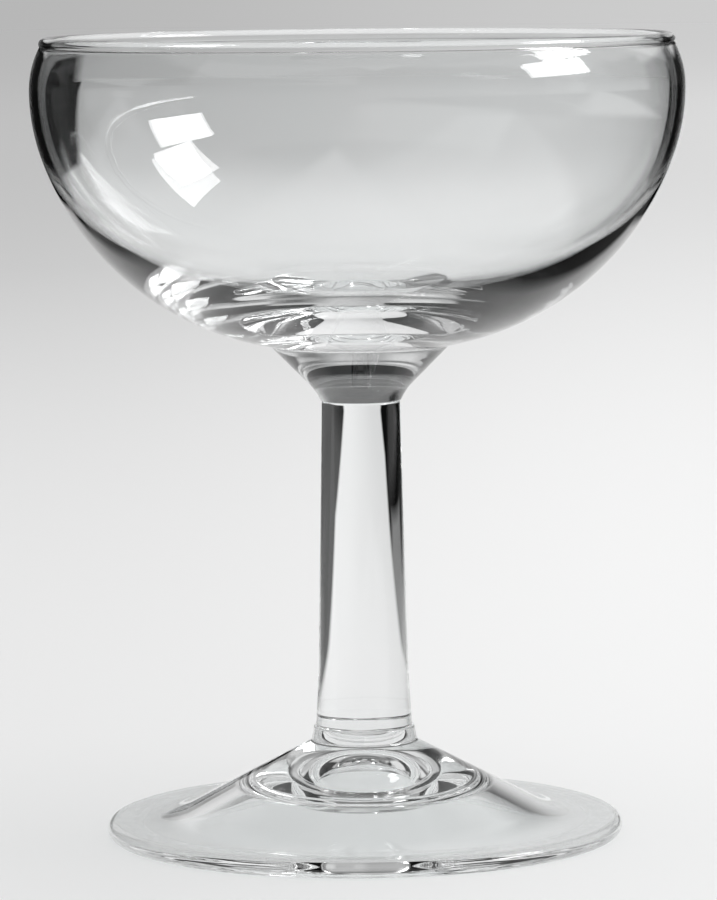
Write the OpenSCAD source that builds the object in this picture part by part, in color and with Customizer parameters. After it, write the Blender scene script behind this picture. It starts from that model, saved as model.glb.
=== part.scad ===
// A footed sherbet glass in clear glass: a round bowl with a beaded rim, a solid tapered stem and a
// conical foot. The three pieces are turned shapes, fused end to end on two flat seams.
// Sizes are in millimetres. The origin is the middle of the foot's resting ring, and +Z points up.

/* [Bowl] */
// Widest outside diameter of the bowl
bowl_d = 90; // [89:0.5:94]
// Height of the bowl's widest line above the stem
bowl_rise = 43; // [42.5:0.25:44]
// Radius of the side that turns in from the widest line up to the rim
bowl_upper_r = 13; // [12:0.5:18]
// Radius of the side just below the widest line
bowl_side_r = 28; // [26:0.5:28.5]
// Radius of the round underside
bowl_under_r = 40; // [38:0.5:41]
// Angle below the widest line at which the underside's curve takes over
bowl_side_angle = 20; // [18:1:24]
// Angle below the widest line at which the underside runs out straight
bowl_under_angle = 78; // [74:1:78]
// Thickness of the wall near the rim
wall = 1.2; // [1:0.05:1.4]
// Extra thickness of the glass under the bowl's inside floor
floor_extra = 7; // [6:0.1:8]

/* [Rim] */
// Angle above the widest line at which the rim sits
rim_angle = 31; // [24:1:36]
// Diameter of the rounded bead along the rim
bead_d = 1.7; // [1.6:0.05:2.2]

/* [Collar] */
// Diameter of the bowl's collar where the stem joins it
collar_d = 11.1; // [11:0.1:12]
// Lean of the collar's cone from upright, in degrees
collar_lean = 45; // [42:1:46]
// Height of the steeper neck at the bottom of the collar
neck_h = 1.6; // [1.3:0.1:1.8]

/* [Stem] */
// Length of the stem between its fused ends
stem_h = 45.2; // [30:0.2:70]
// Diameter of the stem at the top
stem_top_d = 10.8; // [10:0.1:11]
// Diameter of the stem where its foot flare starts
stem_mid_d = 12.5; // [12:0.1:12.8]
// Diameter of the stem at the bottom
stem_base_d = 13.4; // [13:0.1:13.6]
// Height of the flare at the bottom of the stem
flare_h = 6.8; // [6:0.2:9]

/* [Foot] */
// Outside diameter of the foot
foot_d = 71.5; // [70:0.5:80]
// Thickness of the foot at its rounded edge
foot_edge = 2.5; // [2.2:0.1:2.8]
// Slope of the foot's cone from level, in degrees
foot_slope = 28; // [27:0.5:31]
// Height of the cone's top above the table
cone_h = 13.1; // [12.5:0.1:13.5]
// Height of the boss that carries the stem
boss_h = 2.1; // [1.8:0.1:3]
// Diameter of the boss at its base
boss_d = 14.7; // [14.5:0.1:15.5]
// Width of the ring that the foot rests on, out to which the hollow's slope would run if it weren't eased
ring_w = 7.8; // [7:0.1:8.6]
// Height of the hollow under the foot at its crest
hollow_h = 6; // [5.6:0.1:6.4]
// Diameter of the hollow's crest
crest_d = 30.8; // [30:0.2:32]
// Diameter of the dome pushed up into the middle of the hollow
dome_d = 14.2; // [12:0.2:14.6]
// Height of the dome above its lip
dome_h = 4.3; // [3:0.1:5]
// Diameter of the lip round the dome
lip_d = 16.8; // [16.4:0.1:18]
// Height of the lip above the table
lip_h = 3; // [2.6:0.1:3.4]

/* [Hidden] */
$fn = 180;

// Angle between the points of a turned curve
arc_step = 3;
// Rounding of the glass along both sides of a fused seam
seam_round = 0.3;
// Radii that ease one face into the next
neck_ease = 8;
collar_ease = 1;
flare_ease = 200;
boss_ease = 0.6;
brim_ease = 14;
dome_ease = 0.6;
lip_ease = 1;
crest_ease = 4;
ring_ease = 16.5;
// How far the rim's bead stands in from the inside of the wall
bead_inset = 0.1;
// How much narrower the boss is at the seam than at its base
boss_taper = 0.8;

// Clear glass
glass = [0.86, 0.89, 0.90];
glass_alpha = 0.4;

foot_seam = cone_h + boss_h;
bowl_seam = foot_seam + stem_h;
bowl_mid = bowl_seam + bowl_rise;

function polar(c, r, a) = c + r * [cos(a), sin(a)];
function unit(v) = v / norm(v);
function bearing(v) = atan2(v[1], v[0]);

// Points along an arc about c, from angle a0 to angle a1
function arc(c, r, a0, a1) =
    let (n = max(3, ceil(abs(a1 - a0) / arc_step)))
    [for (i = [0 : n]) polar(c, r, a0 + (a1 - a0) * i / n)];

// The corner q between p and s, rounded to radius r
function eased(p, q, s, r) =
    let (u = unit(p - q), v = unit(s - q))
    let (half = acos(u * v) / 2)
    let (c = q + unit(u + v) * r / sin(half))
    let (a = bearing(q + u * r / tan(half) - c))
    arc(c, r, a, a + sign(cross(q - p, s - q)) * (180 - 2 * half));

// Angle at a circle's centre between a second centre, d away, and the point where radii r and q cross
function cross_angle(d, r, q) = acos((d * d + r * r - q * q) / (2 * d * r));

// Bowl: centres of the wall's curves, which all meet without a corner
upper_c = [bowl_d / 2 - bowl_upper_r, bowl_mid];
side_c = [bowl_d / 2 - bowl_side_r, bowl_mid];
under_c = polar(side_c, bowl_side_r - bowl_under_r, -bowl_side_angle);
floor_r = bowl_under_r - wall - floor_extra;
floor_c = polar(side_c, bowl_side_r - wall - floor_r, -bowl_side_angle);

// Rim: the bead's centre, and the angles at which it leaves the wall outside and inside
bead_r = bead_d / 2;
bead_reach = bowl_upper_r - wall - bead_inset + bead_r;
bead_c = polar(upper_c, bead_reach, rim_angle);
bead_out = rim_angle - cross_angle(bead_reach, bowl_upper_r, bead_r);
bead_in = rim_angle - cross_angle(bead_reach, bowl_upper_r - wall, bead_r);
bead_start = bearing(polar(upper_c, bowl_upper_r, bead_out) - bead_c);
bead_end = bearing(polar(upper_c, bowl_upper_r - wall, bead_in) - bead_c);

// Collar: its foot on the stem, its neck, and the corner where its cone meets the bowl's underside
neck_lean = 0.6 * collar_lean;
collar_foot = [collar_d / 2, bowl_seam];
neck = collar_foot + neck_h * [tan(neck_lean), 1];
under_end = polar(under_c, bowl_under_r, -bowl_under_angle);
under_fall = tan(90 - bowl_under_angle);
cone_climb = tan(90 - collar_lean);
corner_r = (under_end[1] - under_end[0] * under_fall - neck[1] + neck[0] * cone_climb)
    / (cone_climb - under_fall);
corner = [corner_r, neck[1] + (corner_r - neck[0]) * cone_climb];

// Stem: the points that its sides run between
stem_base = [stem_base_d / 2, foot_seam];
stem_mid = [stem_mid_d / 2, foot_seam + flare_h];
stem_top = [stem_top_d / 2, bowl_seam];

// Foot: its edge, its cone and the hollow underneath
edge_c = [foot_d / 2 - foot_edge / 2, foot_edge / 2];
boss_base = [boss_d / 2, cone_h];
boss_top = [(boss_d - boss_taper) / 2, foot_seam];
cone_end = [boss_base[0] + (cone_h - foot_edge) / tan(foot_slope), foot_edge];
edge_top = [edge_c[0], foot_edge];
edge_low = [edge_c[0], 0];
ring_in = [edge_c[0] - ring_w, 0];
crest = [crest_d / 2, hollow_h];
lip = [lip_d / 2, lip_h];
dome_r = (pow(dome_d / 2, 2) + pow(dome_h, 2)) / (2 * dome_h);
dome_c = [0, lip_h + dome_h - dome_r];
ridge_rise = lip_h + dome_ease - dome_c[1];
ridge_c = dome_c + [sqrt(pow(dome_r + dome_ease, 2) - pow(ridge_rise, 2)), ridge_rise];
ridge_low = [ridge_c[0], lip_h];
ridge_a = bearing(ridge_c - dome_c);

// An outline in radius and height, turned about the glass's axis
module turned(outline) {
    rotate_extrude()
        polygon(outline);
}

// Blown bowl, with the rim's bead above and the solid collar below
module bowl() {
    color(glass, glass_alpha)
        turned(concat(
            [[0, bowl_seam]],
            eased([0, bowl_seam], collar_foot, neck, seam_round),
            eased(collar_foot, neck, corner, neck_ease),
            eased(neck, corner, under_end, collar_ease),
            arc(under_c, bowl_under_r, -bowl_under_angle, -bowl_side_angle),
            arc(side_c, bowl_side_r, -bowl_side_angle, 0),
            arc(upper_c, bowl_upper_r, 0, bead_out),
            arc(bead_c, bead_r, bead_start, bead_end + 360),
            arc(upper_c, bowl_upper_r - wall, bead_in, 0),
            arc(side_c, bowl_side_r - wall, 0, -bowl_side_angle),
            arc(floor_c, floor_r, -bowl_side_angle, -90),
            [[0, floor_c[1] - floor_r]]
        ));
}

// Solid stem, tapered and flared at its foot
module stem() {
    color(glass, glass_alpha)
        turned(concat(
            [[0, foot_seam]],
            eased([0, foot_seam], stem_base, stem_mid, seam_round),
            eased(stem_base, stem_mid, stem_top, flare_ease),
            eased(stem_mid, stem_top, [0, bowl_seam], seam_round),
            [[0, bowl_seam]]
        ));
}

// Pressed foot, with a boss for the stem above, and below it a hollow with a lipped dome in its middle
module foot() {
    color(glass, glass_alpha)
        turned(concat(
            arc(dome_c, dome_r, 90, ridge_a),
            arc(ridge_c, dome_ease, ridge_a + 180, 270),
            eased(ridge_low, lip, crest, lip_ease),
            eased(lip, crest, ring_in, crest_ease),
            eased(crest, ring_in, edge_low, ring_ease),
            arc(edge_c, foot_edge / 2, -90, 90),
            eased(edge_top, cone_end, boss_base, brim_ease),
            eased(cone_end, boss_base, boss_top, boss_ease),
            eased(boss_base, boss_top, [0, foot_seam], seam_round),
            [[0, foot_seam]]
        ));
}

bowl();
stem();
foot();
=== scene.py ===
import math

import bmesh
import bpy
from bpy.props import FloatProperty, FloatVectorProperty, IntProperty, PointerProperty
from mathutils import Matrix, Vector


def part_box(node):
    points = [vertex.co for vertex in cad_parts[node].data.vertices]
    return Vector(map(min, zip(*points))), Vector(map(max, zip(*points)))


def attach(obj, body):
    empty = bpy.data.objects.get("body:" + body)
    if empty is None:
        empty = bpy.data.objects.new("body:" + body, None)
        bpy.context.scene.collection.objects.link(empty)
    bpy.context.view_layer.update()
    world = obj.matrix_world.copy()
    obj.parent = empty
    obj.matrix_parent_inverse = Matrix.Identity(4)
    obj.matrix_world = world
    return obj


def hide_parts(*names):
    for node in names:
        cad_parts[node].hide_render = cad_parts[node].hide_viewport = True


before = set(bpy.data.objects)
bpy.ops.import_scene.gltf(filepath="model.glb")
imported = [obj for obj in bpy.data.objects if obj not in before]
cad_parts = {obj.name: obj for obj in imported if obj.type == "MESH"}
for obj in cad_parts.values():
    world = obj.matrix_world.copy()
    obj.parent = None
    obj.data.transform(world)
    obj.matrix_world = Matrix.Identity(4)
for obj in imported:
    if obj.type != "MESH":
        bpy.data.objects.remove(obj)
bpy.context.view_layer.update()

# A footed sherbet glass: blown bowl, solid stem and pressed foot. Each is a turned shape, and they are fused
# on two flat seams.
bl_info = {
    "name": "Sherbet Glass",
    "version": (1, 0, 0),
    "blender": (4, 5, 0),
    "location": "3D View > Sidebar > Sherbet Glass",
    "description": "Builds a footed sherbet glass in clear glass, and a plain pale stage for it",
    "category": "Object",
}

MM = 0.001
BOWL_LOW, BOWL_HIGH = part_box("bowl")
STEM_LOW, STEM_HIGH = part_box("stem")
FOOT_LOW, FOOT_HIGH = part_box("foot")


def linear(code):
    """An sRGB hex colour as linear red, green, blue and alpha."""
    parts = [int(code[i:i + 2], 16) / 255 for i in (1, 3, 5)]
    return [p / 12.92 if p <= 0.04045 else ((p + 0.055) / 1.055) ** 2.4 for p in parts] + [1]


def length(name, description, value):
    """A size property in metres."""
    return FloatProperty(name=name, description=description, default=value, unit="LENGTH")


def angle(name, description, degrees):
    """An angle property."""
    return FloatProperty(name=name, description=description, default=math.radians(degrees), subtype="ANGLE")


def factor(name, description, value):
    """A tone, strength or share, where 1 is full."""
    return FloatProperty(name=name, description=description, default=value, min=0, subtype="FACTOR")


def colour(name, description, value):
    """A colour property from an sRGB hex value."""
    return FloatVectorProperty(
        name=name, description=description, default=linear(value), size=4, min=0, max=1, subtype="COLOR")


class GlassSizes(bpy.types.PropertyGroup):
    """Sizes of the glass's three pieces"""
    segments: IntProperty(
        name="Segments", description="Steps round each turned piece", default=224, min=48, max=256)
    bowl_d: length("Bowl width", "Widest outside diameter of the bowl", BOWL_HIGH.x - BOWL_LOW.x)
    bowl_seam: length("Bowl seam", "Height of the seam between bowl and stem", BOWL_LOW.z)
    bowl_rise: length("Bowl rise", "Height of the bowl's widest line above its seam", 43 * MM)
    upper_r: length("Upper radius", "Radius of the side above the widest line", 13 * MM)
    side_r: length("Side radius", "Radius of the side below the widest line", 28 * MM)
    under_r: length("Underside radius", "Radius of the bowl's round underside", 40 * MM)
    side_angle: angle("Side angle", "Angle below the widest line where the underside takes over", 20)
    under_angle: angle("Underside angle", "Angle below the widest line where the underside runs out", 78)
    wall: length("Wall", "Thickness of the bowl's wall near the rim", 1.2 * MM)
    floor_extra: length("Floor extra", "Extra thickness under the bowl's inside floor", 7 * MM)
    rim_angle: angle("Rim angle", "Angle above the widest line where the rim sits", 31)
    bead_d: length("Rim bead", "Diameter of the rim's rounded bead", 1.7 * MM)
    collar_d: length("Collar", "Diameter of the collar on the seam", 11.1 * MM)
    collar_lean: angle("Collar lean", "Lean of the collar's cone from upright", 45)
    neck_h: length("Neck", "Height of the steeper neck under the collar's cone", 1.6 * MM)
    stem_top_d: length("Stem top", "Diameter of the stem at the top", 10.8 * MM)
    stem_mid_d: length("Stem middle", "Diameter of the stem where its flare starts", 12.5 * MM)
    stem_base_d: length("Stem base", "Diameter of the stem at the bottom", STEM_HIGH.x - STEM_LOW.x)
    flare_h: length("Flare", "Height of the flare at the bottom of the stem", 6.8 * MM)
    foot_d: length("Foot width", "Outside diameter of the foot", FOOT_HIGH.x - FOOT_LOW.x)
    foot_seam: length("Foot seam", "Height of the seam between stem and foot", FOOT_HIGH.z)
    foot_edge: length("Foot edge", "Thickness of the foot at its rounded edge", 2.5 * MM)
    foot_slope: angle("Foot slope", "Slope of the foot's cone from level", 28)
    boss_h: length("Boss", "Height of the boss that carries the stem", 2.1 * MM)
    boss_d: length("Boss width", "Diameter of the boss at its base", 14.7 * MM)
    ring_w: length("Resting ring", "Width of the resting ring, before the hollow is eased into it", 7.8 * MM)
    hollow_h: length("Hollow", "Height of the hollow under the foot at its crest", 6 * MM)
    crest_d: length("Hollow crest", "Diameter of the hollow's crest", 30.8 * MM)
    dome_d: length("Dome width", "Diameter of the dome in the middle of the hollow", 14.2 * MM)
    dome_h: length("Dome height", "Height of the dome above its lip", 4.3 * MM)
    lip_d: length("Lip width", "Diameter of the lip round the dome", 16.8 * MM)
    lip_h: length("Lip height", "Height of the lip above the table", 3 * MM)
    wave_h: length("Wave height", "Most that the blown inside strays from its true shape", 0.008 * MM)
    wave_w: length("Wave width", "Width of the waves in the blown inside", 12 * MM)


class GlassFinish(bpy.types.PropertyGroup):
    """Colours of the glass and its stage"""
    glass: colour("Glass", "Tint of the glass", "#FEFEFE")
    deep: colour("Deep glass", "Tint of the glass in its faint streaks", "#FBFDFD")
    shade: colour("Glass shade", "What the glass lets through to its shadow", "#EEEFEF")
    low_shade: colour("Low glass shade", "What the glass lets through close above the floor", "#FBFCFC")
    floor: colour("Floor", "Pale sheet under the glass", "#F6F6F6")


class GlassStage(bpy.types.PropertyGroup):
    """Camera and light"""
    lens: FloatProperty(
        name="Lens", description="Focal length in mm on a 36 mm sensor", default=200.83, unit="CAMERA")
    camera_y: length("Camera distance", "Distance of the camera in front of the glass", 690 * MM)
    camera_z: length("Camera height", "Height of the camera above the floor", 124.7 * MM)
    tilt: angle("Tilt", "How far the camera looks down", 5.893)
    turn: angle("Turn", "How far the camera looks to the left", 0.032)
    roll: angle("Roll", "Turn of the camera about its own line of sight", -0.6)
    fill: factor("Fill", "Strength of the soft light from all round", 0.66)
    ceiling: factor("Ceiling", "Tone of the room above the glass", 0.14)
    window: FloatProperty(
        name="Window", description="Power of each window pane in watts", default=2.2, unit="POWER")
    softbox: factor("Softboxes", "Share of the soft lights' full power", 1.0)


# Turned outlines, as points in radius and height
# Most angle between the points of an arc, and most gap along an arc and along a straight run
ARC_STEP = math.radians(2.5)
POINT_GAP, STRAIGHT_GAP = 0.45 * MM, 0.72 * MM
# Gap below which two points are one, along an outline and once it is turned
DOUBLED, MERGED = 0.002 * MM, 0.001 * MM
# How near a point is to count as on a seam, or on the bowl's inside floor
ON_SEAM, ON_FLOOR = 0.0001 * MM, 0.01 * MM
# Rounding along both sides of a fused seam, and radii that ease one face into the next
SEAM_ROUND = 0.3 * MM
NECK_EASE = 8 * MM
COLLAR_EASE = 1 * MM
FLARE_EASE = 200 * MM
BOSS_EASE = 0.6 * MM
BRIM_EASE = 14 * MM
DOME_EASE = 0.6 * MM
LIP_EASE = 1 * MM
CREST_EASE = 4 * MM
RING_EASE = 16.5 * MM
# How far the rim's bead stands in from the inside of the wall
BEAD_INSET = 0.1 * MM
# How much narrower the boss is at the seam than at its base
BOSS_TAPER = 0.8 * MM
# Lean of the neck, as a share of the collar's
NECK_LEAN = 0.6
RIGHT = math.radians(90)


def polar(centre, radius, a):
    return Vector(centre) + radius * Vector((math.cos(a), math.sin(a)))


def bearing(v):
    return math.atan2(v[1], v[0])


def arc(centre, radius, a0, a1):
    """Points along an arc about a centre."""
    steps = max(4, math.ceil(abs(a1 - a0) / ARC_STEP), math.ceil(abs(a1 - a0) * radius / POINT_GAP))
    return [polar(centre, radius, a0 + (a1 - a0) * i / steps) for i in range(steps + 1)]


def eased(p, q, s, radius):
    """The corner q between p and s, rounded."""
    p, q, s = Vector(p), Vector(q), Vector(s)
    u, v = (p - q).normalized(), (s - q).normalized()
    half = math.acos(u.dot(v)) / 2
    centre = q + (u + v).normalized() * radius / math.sin(half)
    a = bearing(q + u * radius / math.tan(half) - centre)
    turn = (q - p).x * (s - q).y - (q - p).y * (s - q).x
    return arc(centre, radius, a, a + math.copysign(math.pi - 2 * half, turn))


def cross_angle(d, r, q):
    """Angle at a circle's centre between a second centre, d away, and the point where radii r and q cross."""
    return math.acos((d * d + r * r - q * q) / (2 * d * r))


def bowl_outline(s):
    """The bowl: from the middle of its seam up the outside, over the rim and down to its floor."""
    mid = s.bowl_seam + s.bowl_rise
    upper_c = Vector((s.bowl_d / 2 - s.upper_r, mid))
    side_c = Vector((s.bowl_d / 2 - s.side_r, mid))
    under_c = polar(side_c, s.side_r - s.under_r, -s.side_angle)
    floor_r = s.under_r - s.wall - s.floor_extra
    floor_c = polar(side_c, s.side_r - s.wall - floor_r, -s.side_angle)
    bead_r = s.bead_d / 2
    reach = s.upper_r - s.wall - BEAD_INSET + bead_r
    bead_c = polar(upper_c, reach, s.rim_angle)
    bead_out = s.rim_angle - cross_angle(reach, s.upper_r, bead_r)
    bead_in = s.rim_angle - cross_angle(reach, s.upper_r - s.wall, bead_r)
    bead_start = bearing(polar(upper_c, s.upper_r, bead_out) - bead_c)
    bead_end = bearing(polar(upper_c, s.upper_r - s.wall, bead_in) - bead_c)
    collar_foot = Vector((s.collar_d / 2, s.bowl_seam))
    neck = collar_foot + s.neck_h * Vector((math.tan(NECK_LEAN * s.collar_lean), 1))
    under_end = polar(under_c, s.under_r, -s.under_angle)
    fall, climb = math.tan(RIGHT - s.under_angle), math.tan(RIGHT - s.collar_lean)
    corner_r = (under_end.y - under_end.x * fall - neck.y + neck.x * climb) / (climb - fall)
    corner = Vector((corner_r, neck.y + (corner_r - neck.x) * climb))
    seam = Vector((0, s.bowl_seam))
    return (
        [seam]
        + eased(seam, collar_foot, neck, SEAM_ROUND)
        + eased(collar_foot, neck, corner, NECK_EASE)
        + eased(neck, corner, under_end, COLLAR_EASE)
        + arc(under_c, s.under_r, -s.under_angle, -s.side_angle)
        + arc(side_c, s.side_r, -s.side_angle, 0)
        + arc(upper_c, s.upper_r, 0, bead_out)
        + arc(bead_c, bead_r, bead_start, bead_end + 2 * math.pi)
        + arc(upper_c, s.upper_r - s.wall, bead_in, 0)
        + arc(side_c, s.side_r - s.wall, 0, -s.side_angle)
        + arc(floor_c, floor_r, -s.side_angle, -RIGHT)
        + [Vector((0, floor_c.y - floor_r))]
    )


def inside_bowl(s, p):
    """Whether a point of the bowl's outline lies on its round inside floor."""
    side_c = Vector((s.bowl_d / 2 - s.side_r, s.bowl_seam + s.bowl_rise))
    floor_r = s.under_r - s.wall - s.floor_extra
    floor_c = polar(side_c, s.side_r - s.wall - floor_r, -s.side_angle)
    off = p - Vector((min(p.x, floor_c.x), floor_c.y))
    return p.y < side_c.y and off.length < floor_r + ON_FLOOR


def stem_outline(s):
    """The stem from the middle of its foot seam to the middle of its bowl seam."""
    low, high = Vector((0, s.foot_seam)), Vector((0, s.bowl_seam))
    base = Vector((s.stem_base_d / 2, s.foot_seam))
    mid = Vector((s.stem_mid_d / 2, s.foot_seam + s.flare_h))
    top = Vector((s.stem_top_d / 2, s.bowl_seam))
    return (
        [low]
        + eased(low, base, mid, SEAM_ROUND)
        + eased(base, mid, top, FLARE_EASE)
        + eased(mid, top, high, SEAM_ROUND)
        + [high]
    )


def foot_outline(s):
    """The foot from the top of the dome under it, out over its resting ring and edge, and up to its seam."""
    edge_c = Vector(((s.foot_d - s.foot_edge) / 2, s.foot_edge / 2))
    cone_h = s.foot_seam - s.boss_h
    boss_base = Vector((s.boss_d / 2, cone_h))
    boss_top = Vector(((s.boss_d - BOSS_TAPER) / 2, s.foot_seam))
    cone_end = Vector((boss_base.x + (cone_h - s.foot_edge) / math.tan(s.foot_slope), s.foot_edge))
    edge_top = Vector((edge_c.x, s.foot_edge))
    edge_low = Vector((edge_c.x, 0))
    ring_in = Vector((edge_c.x - s.ring_w, 0))
    crest = Vector((s.crest_d / 2, s.hollow_h))
    lip = Vector((s.lip_d / 2, s.lip_h))
    dome_r = ((s.dome_d / 2) ** 2 + s.dome_h ** 2) / (2 * s.dome_h)
    dome_c = Vector((0, s.lip_h + s.dome_h - dome_r))
    rise = s.lip_h + DOME_EASE - dome_c.y
    ridge_c = dome_c + Vector((math.sqrt((dome_r + DOME_EASE) ** 2 - rise ** 2), rise))
    ridge_low = Vector((ridge_c.x, s.lip_h))
    ridge_a = bearing(ridge_c - dome_c)
    seam = Vector((0, s.foot_seam))
    return (
        arc(dome_c, dome_r, RIGHT, ridge_a)
        + arc(ridge_c, DOME_EASE, ridge_a + math.pi, 3 * RIGHT)
        + eased(ridge_low, lip, crest, LIP_EASE)
        + eased(lip, crest, ring_in, CREST_EASE)
        + eased(crest, ring_in, edge_low, RING_EASE)
        + arc(edge_c, s.foot_edge / 2, -RIGHT, RIGHT)
        + eased(edge_top, cone_end, boss_base, BRIM_EASE)
        + eased(cone_end, boss_base, boss_top, BOSS_EASE)
        + eased(boss_base, boss_top, seam, SEAM_ROUND)
        + [seam]
    )


def spaced(outline, seams):
    """The outline without doubled points, with points added along its straight runs, except across a seam."""
    made = [outline[0]]
    for q in outline[1:]:
        p = made[-1]
        gap = (q - p).length
        if gap < DOUBLED:
            continue
        flat = any(abs(p.y - z) < ON_SEAM and abs(q.y - z) < ON_SEAM for z in seams)
        steps = 1 if flat else math.ceil(gap / STRAIGHT_GAP)
        made += [p.lerp(q, i / steps) for i in range(1, steps + 1)]
    for end in (0, -1):
        made[end].x = 0
    return made


# Nodes
def add(tree, kind, inputs=None, **settings):
    """A new node in the tree, with its settings, and its inputs set or linked."""
    made = tree.nodes.new(kind)
    for name, value in settings.items():
        setattr(made, name, value)
    for name, value in (inputs or {}).items():
        if isinstance(value, bpy.types.NodeSocket):
            tree.links.new(value, made.inputs[name])
        else:
            made.inputs[name].default_value = value
    return made


# A face lies on a seam only where all its points do, and then the mean of their marks is above this
FULL_MARK = 0.99
# Fixed seeds of the pieces' waves
BOWL_SEED, STEM_SEED, FOOT_SEED = 3, 5, 7
TURNED_INPUTS = (
    ("Geometry", "NodeSocketGeometry"),
    ("Segments", "NodeSocketInt"),
    ("Wave Height", "NodeSocketFloat"),
    ("Wave Width", "NodeSocketFloat"),
    ("Seed", "NodeSocketInt"),
    ("Glass", "NodeSocketMaterial"),
    ("Seam", "NodeSocketMaterial"),
)


def turned_tree():
    """A tree that turns an outline about the upright axis and lets its blown parts stray in slow waves."""
    tree = bpy.data.node_groups.new("Turned glass", "GeometryNodeTree")
    for name, kind in TURNED_INPUTS:
        tree.interface.new_socket(name, in_out="INPUT", socket_type=kind)
    tree.interface.new_socket("Geometry", in_out="OUTPUT", socket_type="NodeSocketGeometry")
    given = add(tree, "NodeGroupInput").outputs
    rows = add(tree, "GeometryNodeAttributeDomainSize", {0: given["Geometry"]}).outputs["Point Count"]
    columns = add(tree, "ShaderNodeMath", {0: given["Segments"], 1: 1.0}, operation="ADD").outputs[0]
    grid = add(tree, "GeometryNodeMeshGrid", {"Vertices X": columns, "Vertices Y": rows}).outputs["Mesh"]
    index = add(tree, "GeometryNodeInputIndex").outputs[0]
    row = add(tree, "ShaderNodeMath", {0: index, 1: rows}, operation="MODULO").outputs[0]
    column = add(tree, "ShaderNodeMath", {0: index, 1: rows}, operation="DIVIDE").outputs[0]
    column = add(tree, "ShaderNodeMath", {0: column}, operation="FLOOR").outputs[0]
    share = add(tree, "ShaderNodeMath", {0: column, 1: given["Segments"]}, operation="DIVIDE").outputs[0]
    around = add(tree, "ShaderNodeMath", {0: share, 1: 2 * math.pi}, operation="MULTIPLY").outputs[0]
    place = add(tree, "GeometryNodeInputPosition").outputs[0]
    outline = given["Geometry"]
    point = add(tree, "GeometryNodeSampleIndex", {"Geometry": outline, "Value": place, "Index": row},
                data_type="FLOAT_VECTOR").outputs[0]
    turned = add(tree, "ShaderNodeVectorRotate", {"Vector": point, "Angle": around},
                 rotation_type="Z_AXIS").outputs[0]
    mesh = add(tree, "GeometryNodeSetPosition", {"Geometry": grid, "Position": turned}).outputs[0]
    for name in ("wave", "seam"):
        own = add(tree, "GeometryNodeInputNamedAttribute", {"Name": name}).outputs["Attribute"]
        value = add(tree, "GeometryNodeSampleIndex",
                    {"Geometry": outline, "Value": own, "Index": row}).outputs[0]
        mesh = add(tree, "GeometryNodeStoreNamedAttribute",
                   {"Geometry": mesh, "Name": name, "Value": value}).outputs[0]
    mesh = add(tree, "GeometryNodeMergeByDistance", {"Geometry": mesh, "Distance": MERGED}).outputs[0]
    per_metre = add(tree, "ShaderNodeMath", {0: 1.0, 1: given["Wave Width"]}, operation="DIVIDE").outputs[0]
    noise = add(tree, "ShaderNodeTexNoise",
                {"Vector": place, "W": given["Seed"], "Scale": per_metre, "Detail": 1.0},
                noise_dimensions="4D").outputs[0]
    stray = add(tree, "ShaderNodeMath", {0: noise, 1: 0.5}, operation="SUBTRACT").outputs[0]
    stray = add(tree, "ShaderNodeMath", {0: stray, 1: given["Wave Height"]}, operation="MULTIPLY").outputs[0]
    weight = add(tree, "GeometryNodeInputNamedAttribute", {"Name": "wave"}).outputs["Attribute"]
    stray = add(tree, "ShaderNodeMath", {0: stray, 1: weight}, operation="MULTIPLY").outputs[0]
    facing = add(tree, "GeometryNodeInputNormal").outputs[0]
    offset = add(tree, "ShaderNodeVectorMath", {0: facing, "Scale": stray}, operation="SCALE").outputs[0]
    mesh = add(tree, "GeometryNodeSetPosition", {"Geometry": mesh, "Offset": offset}).outputs[0]
    mesh = add(tree, "GeometryNodeSetShadeSmooth", {"Geometry": mesh}).outputs[0]
    mesh = add(tree, "GeometryNodeRealizeInstances", {"Geometry": mesh}).outputs[0]
    mesh = add(tree, "GeometryNodeSetMaterial", {"Geometry": mesh, "Material": given["Glass"]}).outputs[0]
    seam = add(tree, "GeometryNodeInputNamedAttribute", {"Name": "seam"}).outputs["Attribute"]
    on_seam = add(tree, "FunctionNodeCompare", {0: seam, 1: FULL_MARK}, operation="GREATER_THAN").outputs[0]
    mesh = add(tree, "GeometryNodeSetMaterial",
               {"Geometry": mesh, "Selection": on_seam, "Material": given["Seam"]}).outputs[0]
    for name in ("wave", "seam"):
        mesh = add(tree, "GeometryNodeRemoveAttribute", {"Geometry": mesh, "Name": name}).outputs[0]
    add(tree, "NodeGroupOutput", {"Geometry": mesh})
    return tree


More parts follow.
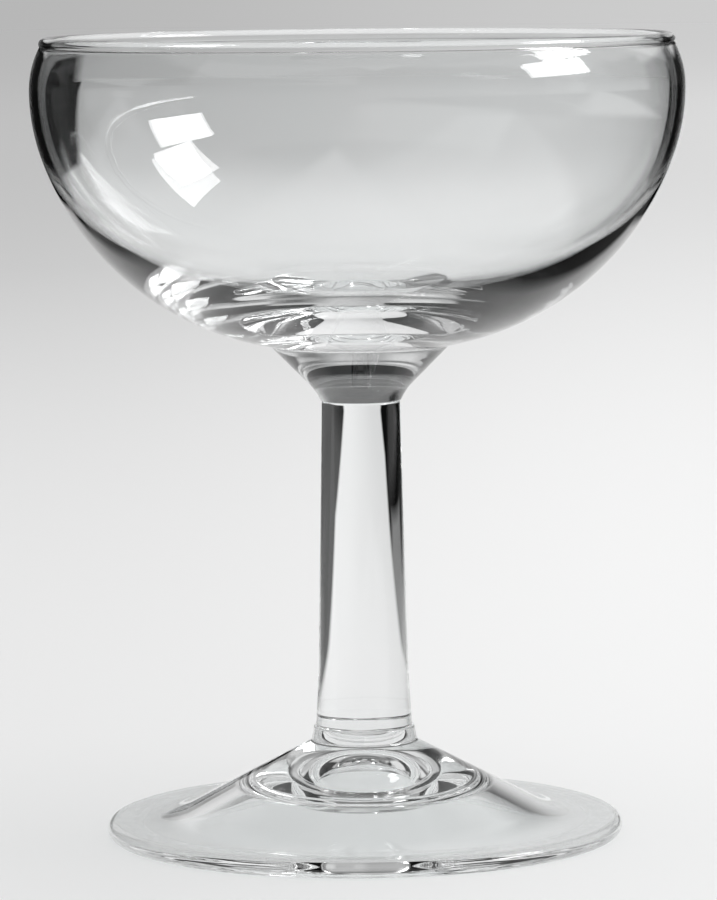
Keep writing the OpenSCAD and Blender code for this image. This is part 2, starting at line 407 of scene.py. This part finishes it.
def turned_piece(name, outline, seams, waved, seed):
    """A closed, smooth piece from its outline. Its seam discs get the seam material."""
    sizes = bpy.context.scene.glass_sizes
    points = spaced(outline, seams)
    profile = bpy.data.meshes.new(name + "_outline")
    profile.from_pydata([(p.x, 0, p.y) for p in points], [(i, i + 1) for i in range(len(points) - 1)], [])
    for kind, values in (
        ("wave", [waved(p) for p in points]),
        ("seam", [float(any(abs(p.y - z) < ON_SEAM for z in seams)) for p in points]),
    ):
        profile.attributes.new(kind, "FLOAT", "POINT").data.foreach_set("value", values)
    piece = bpy.data.objects.new(name, profile)
    bpy.context.scene.collection.objects.link(piece)
    modifier = piece.modifiers.new("Turned", "NODES")
    modifier.node_group = bpy.data.node_groups.get("Turned glass") or turned_tree()
    values = {
        "Segments": sizes.segments,
        "Wave Height": sizes.wave_h,
        "Wave Width": sizes.wave_w,
        "Seed": seed,
        "Glass": bpy.data.materials.get("Fire-polished clear glass") or clear_glass(),
        "Seam": bpy.data.materials.get("Fused seam") or fused_seam(),
    }
    for socket in modifier.node_group.interface.items_tree:
        if socket.name in values:
            modifier[socket.identifier] = values[socket.name]
    seen = piece.evaluated_get(bpy.context.evaluated_depsgraph_get())
    mesh = bpy.data.meshes.new_from_object(seen)
    piece.modifiers.clear()
    piece.data = mesh
    mesh.name = name
    bpy.data.meshes.remove(profile)
    shape = bmesh.new()
    shape.from_mesh(mesh)
    bmesh.ops.recalc_face_normals(shape, faces=shape.faces)
    if shape.calc_volume(signed=True) < 0:
        bmesh.ops.reverse_faces(shape, faces=shape.faces)
    open_edges = sum(not e.is_manifold for e in shape.edges)
    shape.to_mesh(mesh)
    shape.free()
    if open_edges:
        raise RuntimeError(f"{name} is not closed: {open_edges} open edges")
    return piece


# Materials
GLASS_IOR = 1.52
# Width and depth of the waves that pressing leaves in the glass
WAVE_GAP, WAVE_DEPTH = 9 * MM, 0.003 * MM
# Width and roughness of the smudges on it, and the noise between which they start and are full
SMUDGE_GAP, SMUDGE = 16 * MM, 0.02
SMUDGE_LOW, SMUDGE_HIGH = 0.55, 0.75
# Height above the floor at which the glass casts its full shadow
SHADE_LIFT = 60 * MM


def clear_glass():
    """Fire-polished soda-lime glass: clear and bright, with slow waves that bend what shows in it.

    Faint smudges blur it a little here and there.
    """
    finish = bpy.context.scene.glass_finish
    made = bpy.data.materials.new("Fire-polished clear glass")
    made.use_nodes = True
    tree = made.node_tree
    tree.nodes.clear()
    place = add(tree, "ShaderNodeTexCoord").outputs["Object"]
    slow = add(tree, "ShaderNodeTexNoise", {"Vector": place, "Scale": 1 / WAVE_GAP, "Detail": 1.0}).outputs[0]
    bump = add(tree, "ShaderNodeBump", {"Height": slow, "Strength": 1.0, "Distance": WAVE_DEPTH}).outputs[0]
    patch = add(tree, "ShaderNodeTexNoise",
                {"Vector": place, "Scale": 1 / SMUDGE_GAP, "Detail": 4.0}).outputs[0]
    smudge = add(tree, "ShaderNodeMapRange", {
        "Value": patch, "From Min": SMUDGE_LOW, "From Max": SMUDGE_HIGH, "To Min": 0.0, "To Max": SMUDGE,
    }).outputs[0]
    tint = add(tree, "ShaderNodeMix", {0: patch, 6: finish.glass, 7: finish.deep},
               data_type="RGBA").outputs[2]
    glass = add(tree, "ShaderNodeBsdfPrincipled", {
        "Base Color": tint, "Roughness": smudge, "IOR": GLASS_IOR, "Transmission Weight": 1.0, "Normal": bump,
    }).outputs[0]
    # Light that is bent close above the floor still lands under the glass, so the foot's own shadow is faint
    height = add(tree, "ShaderNodeSeparateXYZ", {0: place}).outputs["Z"]
    lift = add(tree, "ShaderNodeMapRange", {"Value": height, "From Max": SHADE_LIFT}).outputs[0]
    shade = add(tree, "ShaderNodeMix", {0: lift, 6: finish.low_shade, 7: finish.shade},
                data_type="RGBA").outputs[2]
    clear = add(tree, "ShaderNodeBsdfTransparent", {"Color": shade}).outputs[0]
    path = add(tree, "ShaderNodeLightPath").outputs
    soft = add(tree, "ShaderNodeMath", {0: path["Is Shadow Ray"], 1: path["Is Diffuse Ray"]},
               operation="MAXIMUM").outputs[0]
    mixed = add(tree, "ShaderNodeMixShader", {0: soft, 1: glass, 2: clear}).outputs[0]
    add(tree, "ShaderNodeOutputMaterial", {"Surface": mixed})
    return made


def fused_seam():
    """Melted joint, where the eye passes from one piece into the next."""
    made = bpy.data.materials.new("Fused seam")
    made.use_nodes = True
    tree = made.node_tree
    tree.nodes.clear()
    clear = add(tree, "ShaderNodeBsdfTransparent").outputs[0]
    add(tree, "ShaderNodeOutputMaterial", {"Surface": clear})
    return made


# Stage
# Tones run from 0, black, to 1, white. Azimuths are from straight behind the glass and positive to the right
# Left and right edges of the white paper, as it shows in the glass, in metres: where the near stretch crosses
# the middle line and its slope, how far out the edge then runs straight, and the far stretch likewise, and
# how soft both edges are
LEFT_EDGE = (-0.083, -0.253, -0.175, -0.066, -0.102)
RIGHT_EDGE = (0.052, 0.364, 0.15, 0.036, 0.216)
PAPER_EDGE = 0.008
# Painted shade: the paper is painted greyer on the left, standing in for less light there. Its tone there
# near the camera and far off, both distances in metres, how far either side of the camera's line it changes,
# as a share of the way ahead, and the least way ahead
PAINTED_SHADE_NEAR, PAINTED_SHADE_FAR = 0.94, 0.78
NEAR, FAR = 0.65, 1.9
PAINTED_SHADE_SPREAD = 0.075
LEAST_AHEAD = 0.3
# The table beyond the paper, as it shows in the glass, painted as glowing tones that stand in for its light
# and shade: the way that each stretch runs, in degrees from the right, its low and high ends along and across
# in metres, its soft edge and its tone
PAINTED_TABLE_TONES = (
    # On the right, near and far
    (0, 0.0, 0.45, -0.3, 0.42, 0.05, 0.085),
    (0, 0.6, 9.0, -0.1, 0.45, 0.08, 0.8),
    # Behind on the left, and on the left
    (135, 0.04, 0.30, -0.055, 0.055, 0.015, 0.25),
    (180, 0.04, 9.0, -0.09, 0.09, 0.02, 0.45),
    # In front, near and far
    (-90, 0.02, 0.14, -0.14, 0.14, 0.03, 0.6),
    (-90, 0.1, 9.0, 0.0, 0.5, 0.05, 0.35),
    # In front on the right
    (-45, 0.05, 0.55, -0.1, 0.1, 0.015, 0.7),
)
PAINTED_TABLE_BASE_TONE = 0.004
# Flats round the glass, as they show in it: low and high azimuth, low and high elevation, soft edge and tone
FLATS = (
    # High behind, dark on the right and pale on the left
    (12, 25, 13, 34, 5, 0.12),
    (-22, -10, 9, 24, 2.5, 0.75),
    # Dark on the left, which gives the bowl's left band and the dark patch low on its right
    (-118, -6.4, -90, 8, 0.4, 0.006),
    (-118, -28, -90, 33, 1.5, 0.02),
    (-118, -50, -90, 55, 1.5, 0.004),
    # Dark low on the right, which gives the bowl's right band, and pale above it
    (11.9, 28, -90, 6, 1, 0.01),
    (26, 58, -90, 13, 1.5, 0.02),
    (26, 58, 15, 36, 1.5, 0.8),
    # Grey further round on the right
    (58, 80, 5, 20, 2, 0.35),
    (58, 102, -90, 3.5, 1, 0.5),
    (80, 102, 3.5, 12, 1.5, 0.5),
    # In front of the glass, dim high up, pale below on the right, and dark at the bottom on the left
    (112, 181, -90, 62, 1, 0.14),
    (-181, -118, -90, 62, 1, 0.14),
    (112, 181, -90, 37, 1, 0.4),
    (-181, -118, 14, 37, 1, 0.45),
    (-181, -118, -90, 14, 1, 0.06),
    # A pale strip in the dark on the left
    (-94.5, -85.5, -90, 4, 1, 0.45),
)
WHITE = (1, 1, 1, 1)
# Elevations between which the backdrop gives way to the ceiling
CEILING_LOW, CEILING_HIGH = 36.0, 52.0
# Radius of the round floor in metres, and its sides
FLOOR_R, FLOOR_SIDES = 6.0, 96
# Soft lights overhead: their width and places in metres, and power in watts
SOFTBOX_W = 1.0
SOFTBOXES = (((0.3, 0.1, 1.1), 4.8), ((0.35, 0.9, 1.0), 1.0), ((0.5, 2.6, 1.3), 1.8))
# Window panes: azimuth from straight in front, elevation, width and height, and how far off they stand from
# the point that they face
PANES = ((76, 24.6, 0.383, 0.205), (86.5, 39.2, 0.317, 0.235))
PANE_AWAY = 0.9
PANE_AIM = (0, 0, 0.06)
# Width of the sensor that the lens is given for, in millimetres, and how near and far the camera sees
SENSOR = 36
CLIP_NEAR, CLIP_FAR = 0.01, 20
# Most times that light is followed through the glass, and off it
THROUGH, OFF = 32, 16


def within(tree, pairs, edge, outside, inside):
    """One value where every pair's first is above its second, and another elsewhere, with a soft edge."""
    least = None
    for a, b in pairs:
        gap = add(tree, "ShaderNodeMath", {0: a, 1: b}, operation="SUBTRACT").outputs[0]
        least = gap if least is None else add(
            tree, "ShaderNodeMath", {0: least, 1: gap}, operation="MINIMUM").outputs[0]
    return add(tree, "ShaderNodeMapRange", {
        "Value": least, "From Min": -edge, "From Max": edge, "To Min": outside, "To Max": inside,
    }).outputs[0]


def painted_left_shade(tree, across, ahead, left):
    """Painted shade across the view: the tone of the paper and backdrop, lower on the left, where it stands
    in for less light.
    """
    ahead = add(tree, "ShaderNodeMath", {0: ahead, 1: LEAST_AHEAD}, operation="MAXIMUM").outputs[0]
    share = add(tree, "ShaderNodeMath", {0: across, 1: ahead}, operation="DIVIDE").outputs[0]
    return add(tree, "ShaderNodeMapRange", {
        "Value": share, "From Min": -PAINTED_SHADE_SPREAD, "From Max": PAINTED_SHADE_SPREAD, "To Min": left, "To Max": 1.0,
    }, interpolation_type="SMOOTHSTEP").outputs[0]


def white_paper():
    """Matt white paper with painted shade, a little greyer on the left. In the glass it has edges, with the
    table beyond as a painted glow of set tones.
    """
    finish, stage = bpy.context.scene.glass_finish, bpy.context.scene.glass_stage
    made = bpy.data.materials.new("Matt white paper")
    made.use_nodes = True
    tree = made.node_tree
    tree.nodes.clear()
    place = add(tree, "ShaderNodeTexCoord").outputs["Object"]
    part = add(tree, "ShaderNodeSeparateXYZ", {0: place}).outputs
    x, y = part["X"], part["Y"]
    edges = []
    for (start, slope, limit, far_start, far_slope), inner, outer in (
        (LEFT_EDGE, "MAXIMUM", "MINIMUM"),
        (RIGHT_EDGE, "MINIMUM", "MAXIMUM"),
    ):
        near = add(tree, "ShaderNodeMath", {0: y, 1: slope, 2: start}, operation="MULTIPLY_ADD").outputs[0]
        far = add(tree, "ShaderNodeMath", {0: y, 1: far_slope, 2: far_start},
                  operation="MULTIPLY_ADD").outputs[0]
        far = add(tree, "ShaderNodeMath", {0: far, 1: limit}, operation=outer).outputs[0]
        edges.append(add(tree, "ShaderNodeMath", {0: near, 1: far}, operation=inner).outputs[0])
    off_paper = within(tree, ((x, edges[0]), (edges[1], x)), PAPER_EDGE, 1.0, 0.0)
    tone = PAINTED_TABLE_BASE_TONE
    for turn, low_x, high_x, low_y, high_y, edge, shade in PAINTED_TABLE_TONES:
        turned = add(tree, "ShaderNodeVectorRotate", {"Vector": place, "Angle": math.radians(-turn)},
                     rotation_type="Z_AXIS").outputs[0]
        along = add(tree, "ShaderNodeSeparateXYZ", {0: turned}).outputs
        sides = (along["X"], low_x), (high_x, along["X"]), (along["Y"], low_y), (high_y, along["Y"])
        tone = within(tree, sides, edge, tone, shade)
    # Painted shade: the paper is greyer on the left, more so further off
    ahead = add(tree, "ShaderNodeMath", {0: y, 1: stage.camera_y}, operation="ADD").outputs[0]
    eye = (0, -stage.camera_y, 0)
    away = add(tree, "ShaderNodeVectorMath", {0: place, 1: eye}, operation="DISTANCE").outputs["Value"]
    left = add(tree, "ShaderNodeMapRange", {
        "Value": away, "From Min": NEAR, "From Max": FAR, "To Min": PAINTED_SHADE_NEAR, "To Max": PAINTED_SHADE_FAR,
    }).outputs[0]
    painted_shade = painted_left_shade(tree, x, ahead, left)
    pale_and_painted_shade = add(tree, "ShaderNodeVectorMath", {0: finish.floor[:3], "Scale": painted_shade},
               operation="SCALE").outputs[0]
    paper = add(tree, "ShaderNodeBsdfDiffuse", {"Color": pale_and_painted_shade}).outputs[0]
    # Off the paper, rays in the glass see the table glow at its set tone: painted light and shade, not lit by
    # the lamps
    painted_table_light = add(tree, "ShaderNodeEmission", {"Strength": tone}).outputs[0]
    path = add(tree, "ShaderNodeLightPath").outputs
    in_glass = add(tree, "ShaderNodeMath", {0: path["Is Glossy Ray"], 1: path["Is Transmission Ray"]},
                   operation="MAXIMUM").outputs[0]
    off_paper = add(tree, "ShaderNodeMath", {0: off_paper, 1: in_glass}, operation="MULTIPLY").outputs[0]
    mixed = add(tree, "ShaderNodeMixShader", {0: off_paper, 1: paper, 2: painted_table_light}).outputs[0]
    add(tree, "ShaderNodeOutputMaterial", {"Surface": mixed})
    return made


def studio():
    """Soft light from all round. The camera sees a pale backdrop with painted shade, greyer on the left, and
    the glass sees the flats round it.
    """
    finish, stage = bpy.context.scene.glass_finish, bpy.context.scene.glass_stage
    made = bpy.data.worlds.new("Studio")
    made.use_nodes = True
    tree = made.node_tree
    tree.nodes.clear()
    way = add(tree, "ShaderNodeTexCoord").outputs["Generated"]
    part = add(tree, "ShaderNodeSeparateXYZ", {0: way}).outputs
    around = add(tree, "ShaderNodeMath", {0: part["X"], 1: part["Y"]}, operation="ARCTAN2").outputs[0]
    around = add(tree, "ShaderNodeMath", {0: around}, operation="DEGREES").outputs[0]
    up = add(tree, "ShaderNodeMath", {0: part["Z"]}, operation="ARCSINE").outputs[0]
    up = add(tree, "ShaderNodeMath", {0: up}, operation="DEGREES").outputs[0]
    backdrop = sum(finish.floor[:3]) / 3 * stage.fill
    # Painted shade: the backdrop that the camera sees is greyer on the left
    pale_and_painted_shade = add(tree, "ShaderNodeMath", {0: painted_left_shade(tree, part["X"], part["Y"], PAINTED_SHADE_FAR), 1: backdrop},
               operation="MULTIPLY").outputs[0]
    tone = add(tree, "ShaderNodeMapRange", {"Value": up, "From Min": CEILING_LOW, "From Max": CEILING_HIGH,
                                            "To Min": pale_and_painted_shade, "To Max": stage.ceiling}).outputs[0]
    for low, high, bottom, top, edge, shade in FLATS:
        sides = (around, low), (high, around), (up, bottom), (top, up)
        tone = within(tree, sides, edge, tone, shade)
    room = add(tree, "ShaderNodeBackground", {"Color": WHITE, "Strength": tone}).outputs[0]
    soft = add(tree, "ShaderNodeBackground", {"Color": WHITE, "Strength": stage.fill}).outputs[0]
    behind = add(tree, "ShaderNodeBackground", {"Color": WHITE, "Strength": pale_and_painted_shade}).outputs[0]
    path = add(tree, "ShaderNodeLightPath").outputs
    in_glass = add(tree, "ShaderNodeMath", {0: path["Is Glossy Ray"], 1: path["Is Transmission Ray"]},
                   operation="MAXIMUM").outputs[0]
    seen = add(tree, "ShaderNodeMixShader", {0: in_glass, 1: soft, 2: room}).outputs[0]
    seen = add(tree, "ShaderNodeMixShader", {0: path["Is Camera Ray"], 1: seen, 2: behind}).outputs[0]
    add(tree, "ShaderNodeOutputWorld", {"Surface": seen})
    return made


# Operators
class GLASS_OT_bowl(bpy.types.Operator):
    """Make the blown bowl with its beaded rim and collar"""
    bl_idname = "glass.bowl"
    bl_label = "Bowl"

    def execute(self, context):
        s = context.scene.glass_sizes
        outline = bowl_outline(s)
        bottom, top = outline[-1].y, s.bowl_seam + s.bowl_rise
        piece = turned_piece(
            "glass_bowl", outline, [s.bowl_seam],
            lambda p: max(0.0, (top - p.y) / (top - bottom)) if inside_bowl(s, p) else 0.0, BOWL_SEED)
        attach(piece, "root")
        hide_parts("bowl")
        return {"FINISHED"}


class GLASS_OT_stem(bpy.types.Operator):
    """Make the solid tapered stem"""
    bl_idname = "glass.stem"
    bl_label = "Stem"

    def execute(self, context):
        s = context.scene.glass_sizes
        seams = [s.foot_seam, s.bowl_seam]
        piece = turned_piece("glass_stem", stem_outline(s), seams, lambda p: 0.0, STEM_SEED)
        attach(piece, "root")
        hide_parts("stem")
        return {"FINISHED"}


class GLASS_OT_foot(bpy.types.Operator):
    """Make the pressed foot with the dome under it"""
    bl_idname = "glass.foot"
    bl_label = "Foot"

    def execute(self, context):
        s = context.scene.glass_sizes
        piece = turned_piece("glass_foot", foot_outline(s), [s.foot_seam], lambda p: 0.0, FOOT_SEED)
        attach(piece, "root")
        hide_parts("foot")
        return {"FINISHED"}


class GLASS_OT_stage(bpy.types.Operator):
    """Make the pale floor, the light and the camera"""
    bl_idname = "glass.stage"
    bl_label = "Stage"

    def execute(self, context):
        scene = context.scene
        stage = scene.glass_stage
        scene.view_settings.view_transform = "Standard"
        scene.cycles.caustics_reflective = False
        scene.cycles.caustics_refractive = False
        scene.cycles.max_bounces = THROUGH
        scene.cycles.transmission_bounces = THROUGH
        scene.cycles.glossy_bounces = OFF
        scene.cycles.transparent_max_bounces = THROUGH

        mesh = bpy.data.meshes.new("floor")
        shape = bmesh.new()
        bmesh.ops.create_circle(shape, cap_ends=True, radius=FLOOR_R, segments=FLOOR_SIDES)
        shape.to_mesh(mesh)
        shape.free()
        mesh.materials.append(white_paper())
        floor = bpy.data.objects.new("floor", mesh)
        scene.collection.objects.link(floor)

        scene.world = studio()

        # Soft lights overhead, which the glass doesn't show
        for i, (place, power) in enumerate(SOFTBOXES):
            lamp = bpy.data.lights.new(f"softbox_{i}", "AREA")
            lamp.size, lamp.energy = SOFTBOX_W, power * stage.softbox
            softbox = bpy.data.objects.new(f"softbox_{i}", lamp)
            softbox.location = place
            softbox.visible_camera = softbox.visible_glossy = softbox.visible_transmission = False
            scene.collection.objects.link(softbox)

        # A window of two panes, high on the right, which shows in the glass and doesn't light the floor
        for i, (azimuth, elevation, width, height) in enumerate(PANES):
            a, e = math.radians(azimuth), math.radians(elevation)
            way = Vector((math.sin(a) * math.cos(e), -math.cos(a) * math.cos(e), math.sin(e)))
            lamp = bpy.data.lights.new(f"pane_{i}", "AREA")
            lamp.shape = "RECTANGLE"
            lamp.size, lamp.size_y = width, height
            lamp.energy = stage.window
            pane = bpy.data.objects.new(f"pane_{i}", lamp)
            turned = way.to_track_quat("Z", "Y").to_matrix().to_4x4()
            pane.matrix_world = Matrix.Translation(Vector(PANE_AIM) + PANE_AWAY * way) @ turned
            pane.visible_camera = pane.visible_diffuse = False
            scene.collection.objects.link(pane)

        camera = bpy.data.objects.new("camera", bpy.data.cameras.new("camera"))
        camera.data.lens = stage.lens
        camera.data.sensor_width = SENSOR
        camera.data.clip_start, camera.data.clip_end = CLIP_NEAR, CLIP_FAR
        camera.matrix_world = (
            Matrix.Translation((0, -stage.camera_y, stage.camera_z))
            @ Matrix.Rotation(stage.turn, 4, "Z")
            @ Matrix.Rotation(RIGHT - stage.tilt, 4, "X")
            @ Matrix.Rotation(stage.roll, 4, "Z")
        )
        scene.collection.objects.link(camera)
        scene.camera = camera
        return {"FINISHED"}


class GLASS_PT_panel(bpy.types.Panel):
    """Lists the pieces of the glass"""
    bl_idname = "GLASS_PT_panel"
    bl_label = "Sherbet Glass"
    bl_space_type = "VIEW_3D"
    bl_region_type = "UI"
    bl_category = "Sherbet Glass"

    def draw(self, context):
        for kind in OPERATORS:
            self.layout.operator(kind.bl_idname)
        for group in GROUPS:
            settings = getattr(context.scene, group)
            for name in GROUPS[group].__annotations__:
                self.layout.prop(settings, name)


GROUPS = {"glass_sizes": GlassSizes, "glass_finish": GlassFinish, "glass_stage": GlassStage}
OPERATORS = (GLASS_OT_bowl, GLASS_OT_stem, GLASS_OT_foot, GLASS_OT_stage)


def register():
    for kind in (*GROUPS.values(), *OPERATORS, GLASS_PT_panel):
        bpy.utils.register_class(kind)
    for name, kind in GROUPS.items():
        setattr(bpy.types.Scene, name, PointerProperty(type=kind))


def unregister():
    for name in GROUPS:
        delattr(bpy.types.Scene, name)
    for kind in reversed((*GROUPS.values(), *OPERATORS, GLASS_PT_panel)):
        bpy.utils.unregister_class(kind)


def main():
    register()
    bpy.ops.glass.bowl()
    bpy.ops.glass.stem()
    bpy.ops.glass.foot()
    bpy.ops.glass.stage()


if __name__ == "__main__":
    main()
